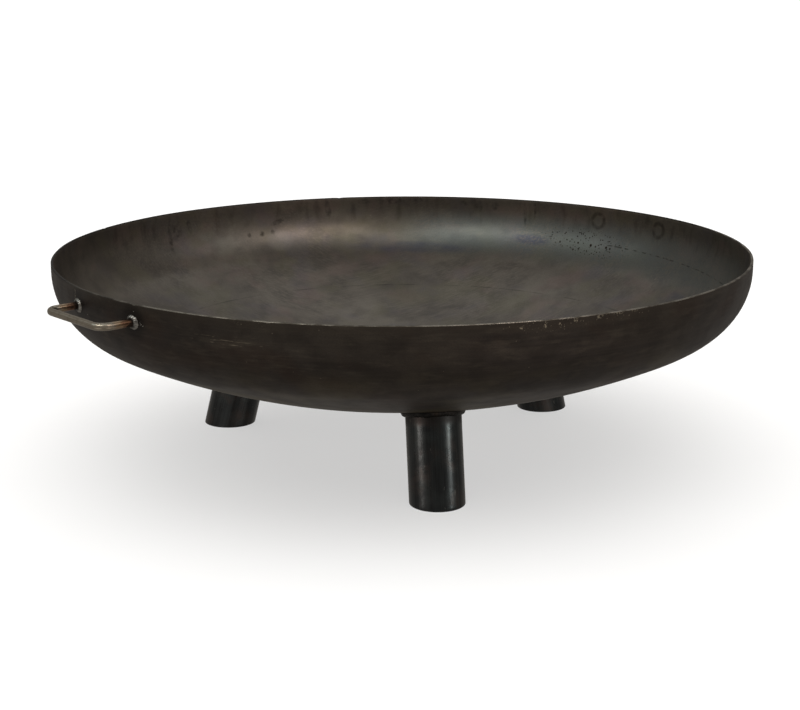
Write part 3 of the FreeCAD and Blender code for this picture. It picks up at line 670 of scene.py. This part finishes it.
def bar_points(side):
    """The bar's surface, its round section carried along a U, and its unrolled place.

    The centre line runs out along X, turns through two quarter circles of the bend radius and
    runs back. Its section is q (n cos v + z sin v), n being level and square to the line. In a
    bend q is less by a share of cos v squared, which flattens the bar there."""
    wall_x = math.sqrt((RIM_RADIUS - 1.2 * MM) ** 2 - BAR_HALF ** 2) - 1.0 * MM
    turn = np.linspace(0.0, math.pi / 2, 15)
    out = np.linspace(wall_x, GRIP_OUT - BEND, 14, endpoint=False)
    grip = np.linspace(BEND - BAR_HALF, BAR_HALF - BEND, 30)[1:-1]
    x = np.concatenate([out, GRIP_OUT - BEND + BEND * np.sin(turn), np.full(len(grip), GRIP_OUT),
                        GRIP_OUT - BEND + BEND * np.cos(turn), out[::-1]])
    y = np.concatenate([np.full(len(out), -BAR_HALF), BEND - BAR_HALF - BEND * np.cos(turn), grip,
                        BAR_HALF - BEND + BEND * np.sin(turn), np.full(len(out), BAR_HALF)])
    heading = np.concatenate([np.zeros(len(out)), turn, np.full(len(grip), math.pi / 2),
                              turn + math.pi / 2, np.full(len(out), math.pi)])
    along = np.concatenate([[0.0], np.cumsum(np.hypot(np.diff(x), np.diff(y)))])
    bent = np.abs(np.sin(2 * heading)) ** 0.5
    around = np.linspace(0.0, 2 * math.pi, 40, endpoint=False)
    q = BAR_RADIUS * (1.0 - 0.045 * bent[:, None] * np.cos(around) ** 2)
    level = np.stack([np.sin(heading), -np.cos(heading), np.zeros_like(heading)], -1)
    points = np.stack([x, y, np.full_like(x, BAR_HEIGHT)], -1)[:, None, :]
    ends = points[[0, -1], 0]
    points = points + (q * np.cos(around))[..., None] * level[:, None, :]
    points[..., 2] += q * np.sin(around)
    unrolled = np.stack([q * np.cos(around), q * np.sin(around),
                         np.broadcast_to(along[:, None], q.shape)], -1)
    flip = np.array([side, side, 1.0])
    return points * flip, ends * flip, unrolled, along[-1]


# Cold-drawn bright steel: a pale nickel grey with fine lines along the bar and a soft gleam,
# fingered and a little tarnished, turning straw, red-brown and blue towards the welds.
bright_bar, tree, shader = new_material("cold_drawn_bright_steel")
follow = add(tree, "Attribute", attribute_name="unrolled").outputs["Vector"]
run_along = add(tree, "SeparateXYZ", {0: follow}).outputs[2]
bar_run = bar_points(1.0)[3]
drawn = patches(tree, follow, 0.9, 0.36, 0.66, detail=2.0, stretch=(1.0, 1.0, 0.03))
tarnish = patches(tree, follow, 16.0, 0.38, 0.64, detail=3.0, shift=2.0)
fingered = patches(tree, follow, 6.0, 0.50, 0.66, detail=3.0, shift=5.0)
nicks = patches(tree, follow, 1.6, 0.68, 0.73, detail=2.0, shift=7.0)
from_middle = add(tree, "Math", {0: run_along, 1: bar_run / 2}, operation="SUBTRACT").outputs[0]
from_middle = add(tree, "Math", {0: from_middle}, operation="ABSOLUTE").outputs[0]
ragged = patches(tree, follow, 9.0, 0.30, 0.70, detail=3.0, shift=11.0)
spread = {0: ragged, 1: 6.0 * MM, 2: from_middle}
from_middle = add(tree, "Math", spread, operation="MULTIPLY_ADD").outputs[0]
tip = bar_run / 2 + 3.0 * MM
straw = within(tree, from_middle, tip - 19.0 * MM, tip + 20.0 * MM, 9.0 * MM)
red_brown = within(tree, from_middle, tip - 13.0 * MM, tip + 20.0 * MM, 5.0 * MM)
blued = within(tree, from_middle, tip - 8.0 * MM, tip + 20.0 * MM, 3.5 * MM)
colour = laid_over(tree, hex_colour("#9c9283"),
                   (tarnish, 0.6, hex_colour("#7b7163")),
                   (fingered, 0.45, hex_colour("#615849")),
                   (drawn, 0.40, hex_colour("#bdb4a5")),
                   (straw, 0.55, hex_colour("#8d6a43")),
                   (red_brown, 0.60, hex_colour("#643c2e")),
                   (blued, 0.85, hex_colour("#23211f")),
                   (nicks, 0.6, hex_colour("#3a342c")))
tree.links.new(colour, shader.inputs["Base Color"])
shine = laid_over(tree, 0.30, (tarnish, 0.5, 0.40), (blued, 0.5),
                  (nicks, 0.55))
tree.links.new(shine, shader.inputs["Roughness"])
shader.inputs["Metallic"].default_value = 1.0
tree.links.new(carved(tree, (drawn, 0.012), (fingered, 0.01), (nicks, -0.05)),
               shader.inputs["Normal"])

for side, sense in (("right", 1.0), ("left", -1.0)):
    points, ends, unrolled, _ = bar_points(sense)
    handle = skin("bar_handle_" + side, points, poles=ends, unrolled=unrolled)
    handle.data.materials.append(bright_bar)
    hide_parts("handle_" + side)
    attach(handle, "root")

# ---------------------------------------------------------------------- the handle welds
# A ring of weld round each bar end, laid as a dozen overlapping blobs on the pan's outside and
# brushed bright, and the spatter that it threw on the wall round it.

RING_LEG = 4.5 * MM


def wall_radius(z):
    """Radius of the pan's outside at a height: the flange, or under it the knuckle's arc."""
    drop = np.clip(FLANGE_FOOT - z, 0.0, KNUCKLE_RADIUS + GAUGE)
    return KNUCKLE_CENTRE + np.sqrt((KNUCKLE_RADIUS + GAUGE) ** 2 - drop ** 2)


def on_wall(across, height, proud):
    """The point of the pan's outside at a level place and a height, lifted outwards along X."""
    x = np.sqrt(wall_radius(height) ** 2 - across ** 2) + proud
    return np.stack([x, across, height], -1)


def ring_bead(across, seed):
    """The bead's surface, on the +X side.

    It goes round the bar at distance q from its line and stands h off the wall, from q = bar and
    h = leg to q = bar + leg and h = 0, by h = leg (1 - s^1.7). Blobs lift it and widen it by a
    rounded cosine of the angle, and it closes inside the metal."""
    random = np.random.default_rng(seed)
    around = np.linspace(0.0, 2 * math.pi, 96, endpoint=False)
    share = np.linspace(0.0, 1.0, 12)[:, None]
    lean = sum(random.uniform(0.4, 1.0) * np.cos(k * around + random.uniform(0.0, 6.3))
               for k in (1, 2, 3, 5)) / 2.4
    blob = np.abs(np.cos(6.5 * around + 0.8 * lean + 0.9 * share)) ** 0.6
    crown = np.sin(math.pi * share) ** 0.8
    wide = RING_LEG * (0.84 + 0.12 * lean) + 0.40 * MM * blob * share
    high = RING_LEG * (0.62 + 0.12 * lean)
    q = BAR_RADIUS - 0.1 * MM + wide * share
    h = high * (1 - share ** 1.7) + (0.25 + 0.45 * blob) * MM * crown - 0.15 * MM * share
    q = np.vstack([q, np.full((2, 96), BAR_RADIUS + 2.5 * MM), np.full((1, 96), BAR_RADIUS - 1.0 * MM)])
    h = np.vstack([h, np.full((1, 96), -0.9 * MM), np.full((1, 96), -1.1 * MM),
                   np.full((1, 96), 1.0 * MM)])
    return on_wall(across + q * np.cos(around), BAR_HEIGHT + q * np.sin(around), h)


def spatter(count, seed):
    """Beads of spatter on the +X side, as one grid of points for each: half buried flat domes."""
    random = np.random.default_rng(seed)
    tilt = np.linspace(0.15, 2.2, 6)[:, None]
    around = np.linspace(0.0, 2 * math.pi, 10, endpoint=False)
    size = random.uniform(0.30, 0.75, (count, 1, 1)) * MM
    gap = (10.5 + 26.0 * random.random((count, 1, 1)) ** 1.6) * MM
    turn = random.uniform(0.0, 2 * math.pi, (count, 1, 1))
    end = random.choice((-BAR_HALF, BAR_HALF), (count, 1, 1))
    across = end + gap * np.cos(turn) + size * np.sin(tilt) * np.cos(around)
    height = BAR_HEIGHT + 0.4 * gap * np.sin(turn) + size * np.sin(tilt) * np.sin(around)
    return on_wall(across, height, 0.6 * size * np.cos(tilt) + 0.0 * around)


def round_bar_lines(tree, where):
    """1 close round the lines of the bars, which run along X, falling to 0 at 6.5 mm."""
    masks = []
    for across in (-BAR_HALF, BAR_HALF):
        level = {0: where, 1: (0.0, 1.0, 1.0), 2: (0.0, -across, -BAR_HEIGHT)}
        level = add(tree, "VectorMath", level, operation="MULTIPLY_ADD").outputs[0]
        gap = add(tree, "VectorMath", {0: level}, operation="LENGTH").outputs["Value"]
        masks.append(within(tree, gap, -4.6 * MM, 4.6 * MM, 1.9 * MM))
    return joined(tree, "MAXIMUM", *masks)


# Brushed weld metal: silvery, with satin crowns and dark hollows between the blobs.
brushed_bead, tree, shader = new_material("brushed_weld_metal")
where = add(tree, "TexCoord").outputs["Object"]
hollow = patches(tree, where, 3.2, 0.46, 0.66, detail=3.0)
tint = patches(tree, where, 7.0, 0.50, 0.68, detail=2.0, shift=4.0)
scratch = patches(tree, where, 0.7, 0.40, 0.66, detail=2.0, stretch=(1.0, 1.0, 0.25))
# Heat tint and painted shade: the bead is darkened close round the bar, in the corner against it.
tint_and_painted_shade_by_bar = round_bar_lines(tree, where)
colour = laid_over(tree, hex_colour("#96928c"),
                   (hollow, 0.75, hex_colour("#3f3c39")),
                   (tint, 0.5, hex_colour("#6d655a")),
                   (scratch, 0.25, hex_colour("#bdbab5")),
                   (tint_and_painted_shade_by_bar, 0.8, hex_colour("#262320")))
tree.links.new(colour, shader.inputs["Base Color"])
tree.links.new(laid_over(tree, 0.28, (hollow, 0.5), (scratch, 0.36)), shader.inputs["Roughness"])
shader.inputs["Metallic"].default_value = 1.0
tree.links.new(carved(tree, (hollow, -0.10), (scratch, 0.03)), shader.inputs["Normal"])

for side, sense in (("right", 1.0), ("left", -1.0)):
    flip = np.array([sense, sense, 1.0])
    for seed, (end, across) in enumerate((("front", -BAR_HALF), ("back", BAR_HALF))):
        points = ring_bead(across, 40 + seed + int(sense)) * flip
        ring = skin("ring_bead_" + side + "_" + end, points, wrap_rows=True)
        ring.data.materials.append(brushed_bead)
        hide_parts("handle_weld_" + side + "_" + end)
        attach(ring, "root")
    drops = spatter(11, 60 + int(sense)) * flip
    grids = [skin("drop", grid, poles=(grid[0].mean(0), grid[-1].mean(0))) for grid in drops]
    with bpy.context.temp_override(active_object=grids[0], selected_editable_objects=grids):
        bpy.ops.object.join()
    grids[0].name = "weld_spatter_" + side
    grids[0].data.materials.append(brushed_bead)
    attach(grids[0], "root")

# ---------------------------------------------------------------------------- the studio
# A pale floor under two wide suns of its own, one that casts a faint shadow and one that casts
# none. Eight softboxes spare the floor: warm and cool keys, one behind, one high in front, two
# at the sides and two low ones for the underside. Two narrow strips light only the legs.

rings = np.array([1.0, 60.0])[:, None]
floor_around = np.linspace(0.0, 2 * math.pi, 64, endpoint=False)
floor_points = np.stack([rings * np.cos(floor_around), rings * np.sin(floor_around),
                         np.zeros((2, 64))], -1)
floor = skin("studio_floor", floor_points, poles=((0.0, 0.0, 0.0),))

# Matt seamless paper: an even pale grey with no gloss.
paper, tree, shader = new_material("matt_seamless_paper")
where = add(tree, "TexCoord").outputs["Object"]
fibre = patches(tree, where, 400.0, 0.30, 0.70, detail=3.0)
tree.links.new(laid_over(tree, hex_colour("#ececec"), (fibre, hex_colour("#eeeeee"))),
               shader.inputs["Base Color"])
shader.inputs["Roughness"].default_value = 1.0
floor.data.materials.append(paper)
floor.visible_diffuse = False
floor.visible_glossy = False
floor.visible_shadow = False

floor_alone = bpy.data.collections.new("floor_alone")
floor_alone.objects.link(floor)
floor_spared = bpy.data.collections.new("floor_spared")
floor_spared.objects.link(floor)
for member in floor_spared.collection_objects:
    member.light_linking.link_state = "EXCLUDE"

legs_alone = bpy.data.collections.new("legs_alone")
for place in LEGS:
    legs_alone.objects.link(bpy.data.objects["tube_leg_" + place])

for name, energy, casts in (("floor_sun", 0.35, True), ("floor_fill", 3.15, False)):
    sun = bpy.data.objects.new(name, bpy.data.lights.new(name, "SUN"))
    sun.data.energy = energy
    sun.data.angle = math.radians(110.0)
    sun.data.use_shadow = casts
    sun.light_linking.receiver_collection = floor_alone
    bpy.context.scene.collection.objects.link(sun)

pan_centre = Vector((0.0, 0.0, RIM_TOP))
VIEW_BEARING = -130.65                      # where the camera stands, from the X axis


def softbox(name, aside, rise, distance, width, height, power, colour, lights=floor_spared):
    """A lamp aimed at the pan, its bearing in degrees to the right of the camera's."""
    turn = math.radians(VIEW_BEARING + aside)
    lift = math.radians(rise)
    towards = Vector((math.cos(lift) * math.cos(turn), math.cos(lift) * math.sin(turn),
                      math.sin(lift)))
    lamp = bpy.data.objects.new(name, bpy.data.lights.new(name, "AREA"))
    lamp.data.shape = "RECTANGLE"
    lamp.data.size = width
    lamp.data.size_y = height
    lamp.data.energy = power
    lamp.data.color = colour
    lamp.location = pan_centre + distance * towards
    lamp.rotation_euler = (-towards).to_track_quat("-Z", "Y").to_euler()
    lamp.visible_camera = False
    lamp.light_linking.receiver_collection = lights
    bpy.context.scene.collection.objects.link(lamp)


softbox("warm_box", 44.0, 43.0, 3.0, 1.2, 0.7, 19.5, (1.0, 0.88, 0.84))
softbox("cool_box", -42.0, 43.0, 3.0, 1.6, 0.7, 15.0, (0.96, 0.96, 0.92))
softbox("back_box", 180.0, 50.0, 3.0, 2.4, 1.6, 7.3, (0.84, 0.90, 0.95))
softbox("left_side_box", -88.0, 38.0, 3.0, 1.6, 1.0, 5.5, (0.70, 0.86, 0.92))
softbox("right_side_box", 88.0, 38.0, 3.0, 1.6, 1.0, 4.0, (0.60, 0.76, 0.90))
softbox("front_high_box", 0.0, 62.0, 3.0, 3.0, 1.2, 13.5, (0.80, 0.91, 0.94))
softbox("left_low_box", -40.0, -30.0, 3.0, 2.0, 1.2, 3.0, (1.0, 1.0, 0.95))
softbox("right_low_box", 40.0, -30.0, 3.0, 2.0, 1.2, 5.5, (1.0, 0.90, 0.84))
softbox("left_leg_strip", -60.0, 13.0, 2.5, 0.3, 0.9, 45.0, (1.0, 0.92, 0.86), legs_alone)
softbox("right_leg_strip", 58.0, 13.0, 2.5, 0.3, 0.9, 26.0, (0.96, 1.0, 0.97), legs_alone)

world = bpy.data.worlds.new("studio_air")
bpy.context.scene.world = world
world.use_nodes = True
tree = world.node_tree
tree.nodes.clear()
seen = add(tree, "LightPath").outputs["Is Camera Ray"]
strength = add(tree, "Mix", {0: seen, 2: 0.26, 3: 1.0}, data_type="FLOAT").outputs[0]
tint = laid_over(tree, (1.0, 0.95, 0.88, 1.0), (seen, (1.0, 1.0, 1.0, 1.0)))
air = add(tree, "Background", {"Color": tint, "Strength": strength})
add(tree, "OutputWorld", {"Surface": air.outputs[0]})
bpy.context.scene.view_settings.view_transform = "Standard"

# ---------------------------------------------------------------------------- the camera
# A 73 mm lens on a 36 mm sensor, 1.9 m from the pan and 10 degrees above its rim, tipped down
# a little further than the rim's centre and leaning by a quarter of a degree.

camera = bpy.data.objects.new("camera", bpy.data.cameras.new("camera"))
camera.data.sensor_width = 36.0
camera.data.lens = 72.93
camera.data.clip_end = 200.0
stand_off, rise = 1.88857, math.radians(10.389)
turn = math.radians(VIEW_BEARING)
away = Vector((math.cos(rise) * math.cos(turn), math.cos(rise) * math.sin(turn), math.sin(rise)))
right = Vector((-math.sin(turn), math.cos(turn), 0.0))
up = right.cross(-away)
aim = Matrix((right, up, away)).transposed()
turn_left, tip_up, lean_right = 0.0811, -3.784, 0.2356     # degrees, in the order made
for degrees, axis in ((turn_left, 1), (tip_up, 0), (lean_right, 2)):
    direction = aim.col[axis] if axis < 2 else -aim.col[2]
    aim = Matrix.Rotation(math.radians(degrees), 3, direction) @ aim
camera.matrix_world = Matrix.Translation(pan_centre + stand_off * away) @ aim.to_4x4()
bpy.context.scene.collection.objects.link(camera)
bpy.context.scene.camera = camera
